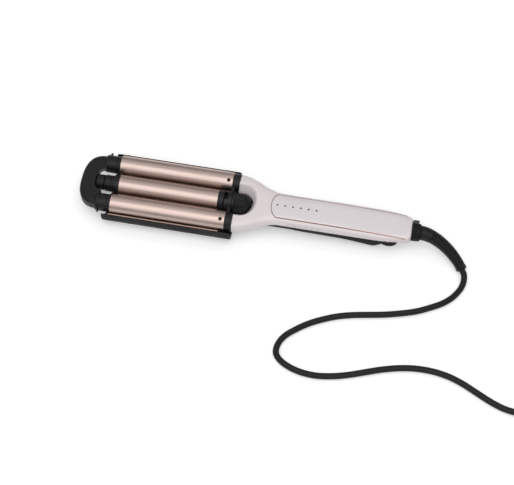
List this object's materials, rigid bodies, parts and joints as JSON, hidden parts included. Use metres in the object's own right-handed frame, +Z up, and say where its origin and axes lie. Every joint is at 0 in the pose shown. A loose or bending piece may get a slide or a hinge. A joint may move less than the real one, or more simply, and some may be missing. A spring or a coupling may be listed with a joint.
{
  "type": "hair waver",
  "caption": "Hinged hair waver with heated barrels, a waved jaw and a dial that lifts the middle barrel to set the wave's depth.",
  "frame": {"origin": "middle of the waver's footprint on the surface it lies on, the free cord left out", "axes": "+X from the tip towards the cord, +Y across the waver towards the side away from the buttons, +Z up from the surface"},
  "size_m": [0.5617, 0.2113, 0.0342],
  "materials": {
    "barrel_metal": "satin rose gold",
    "plate_metal": "satin rose gold",
    "pearl_plastic": "pearl",
    "panel_plastic": "gloss",
    "trim_metal": "satin",
    "button_plastic": "gloss",
    "black_plastic": "matte",
    "black_gloss": "satin",
    "grey_plastic": "matte",
    "light_lens": "gloss",
    "board": "satin",
    "ceramic_white": "matte",
    "spreader_aluminium": "satin",
    "steel": "satin",
    "pin_brass": "plated",
    "cord_rubber": "matte"
  },
  "bodies": {
    "handle": {"near_barrel": "barrel_metal", "far_barrel": "barrel_metal", "barrel_screws": "steel", "tip_bridge": "black_gloss", "base_bridge": "black_plastic", "bridge_screws": "steel", "outer_heaters": "ceramic_white", "outer_spreaders": "spreader_aluminium", "handle_upper_shell": "pearl_plastic", "handle_lower_shell": "black_plastic", "shell_screws": "steel", "control_panel": "panel_plastic", "panel_trim": "trim_metal", "indicator_lights": "light_lens", "circuit_board": "board", "button_switches": "grey_plastic", "hinge_pin": "steel", "cord_sleeve": "black_plastic"},
    "lower_arm_set": {"lower_arm": "black_plastic", "arm_cover": "black_plastic", "cover_screws": "steel", "jaw_housing": "black_plastic", "jaw_screws": "steel", "wave_plate": "plate_metal", "jaw_heaters": "ceramic_white", "hinge_spring": "steel"},
    "middle_barrel_set": {"middle_barrel": "barrel_metal", "middle_tip_cap": "black_gloss", "middle_base_cap": "black_plastic", "follower_pin": "steel", "middle_heater": "ceramic_white", "middle_spreaders": "spreader_aluminium"},
    "dial": {"depth_dial": "black_plastic"},
    "power": {"power_button": "button_plastic"},
    "minus": {"minus_button": "button_plastic"},
    "plus": {"plus_button": "button_plastic"},
    "lock": {"hinge_lock": "grey_plastic"},
    "cord_set": {"swivel_core": "black_gloss", "strain_relief": "cord_rubber", "cord": "cord_rubber", "cord_coil": "cord_rubber", "cord_tie": "black_plastic", "plug": "cord_rubber", "plug_pins": "pin_brass"}
  },
  "joints": [
    {"name": "arm_hinge", "type": "hinge", "parent": "handle", "child": "lower_arm_set", "pos_m": [0.142, 0, 0.0085], "axis": [0, -1, 0], "range_deg": [0, 14]},
    {"name": "dial_turn", "type": "hinge", "parent": "handle", "child": "dial", "pos_m": [-0.018, 0, 0.022], "axis": [1, 0, 0], "range_deg": [0, 180]},
    {"name": "middle_lift", "type": "slide", "parent": "handle", "child": "middle_barrel_set", "axis": [0, 0, 1], "range_m": [0, 0.006]},
    {"name": "power_press", "type": "slide", "parent": "handle", "child": "power", "axis": [0, 1, 0], "range_m": [0, 0.0008], "stiffness_N_per_m": 800},
    {"name": "minus_press", "type": "slide", "parent": "handle", "child": "minus", "axis": [0, 1, 0], "range_m": [0, 0.0008], "stiffness_N_per_m": 800},
    {"name": "plus_press", "type": "slide", "parent": "handle", "child": "plus", "axis": [0, 1, 0], "range_m": [0, 0.0008], "stiffness_N_per_m": 800},
    {"name": "lock_slide", "type": "slide", "parent": "handle", "child": "lock", "axis": [-1, 0, 0], "range_m": [-0.0025, 0]},
    {"name": "cord_swivel", "type": "hinge", "parent": "handle", "child": "cord_set", "pos_m": [0.165, 0, 0.0195], "axis": [1, 0, 0], "continuous": true}
  ],
  "couplings": [
    {"joint": "dial_turn", "follows": "middle_lift", "rad_per_m": 523.59}
  ]
}
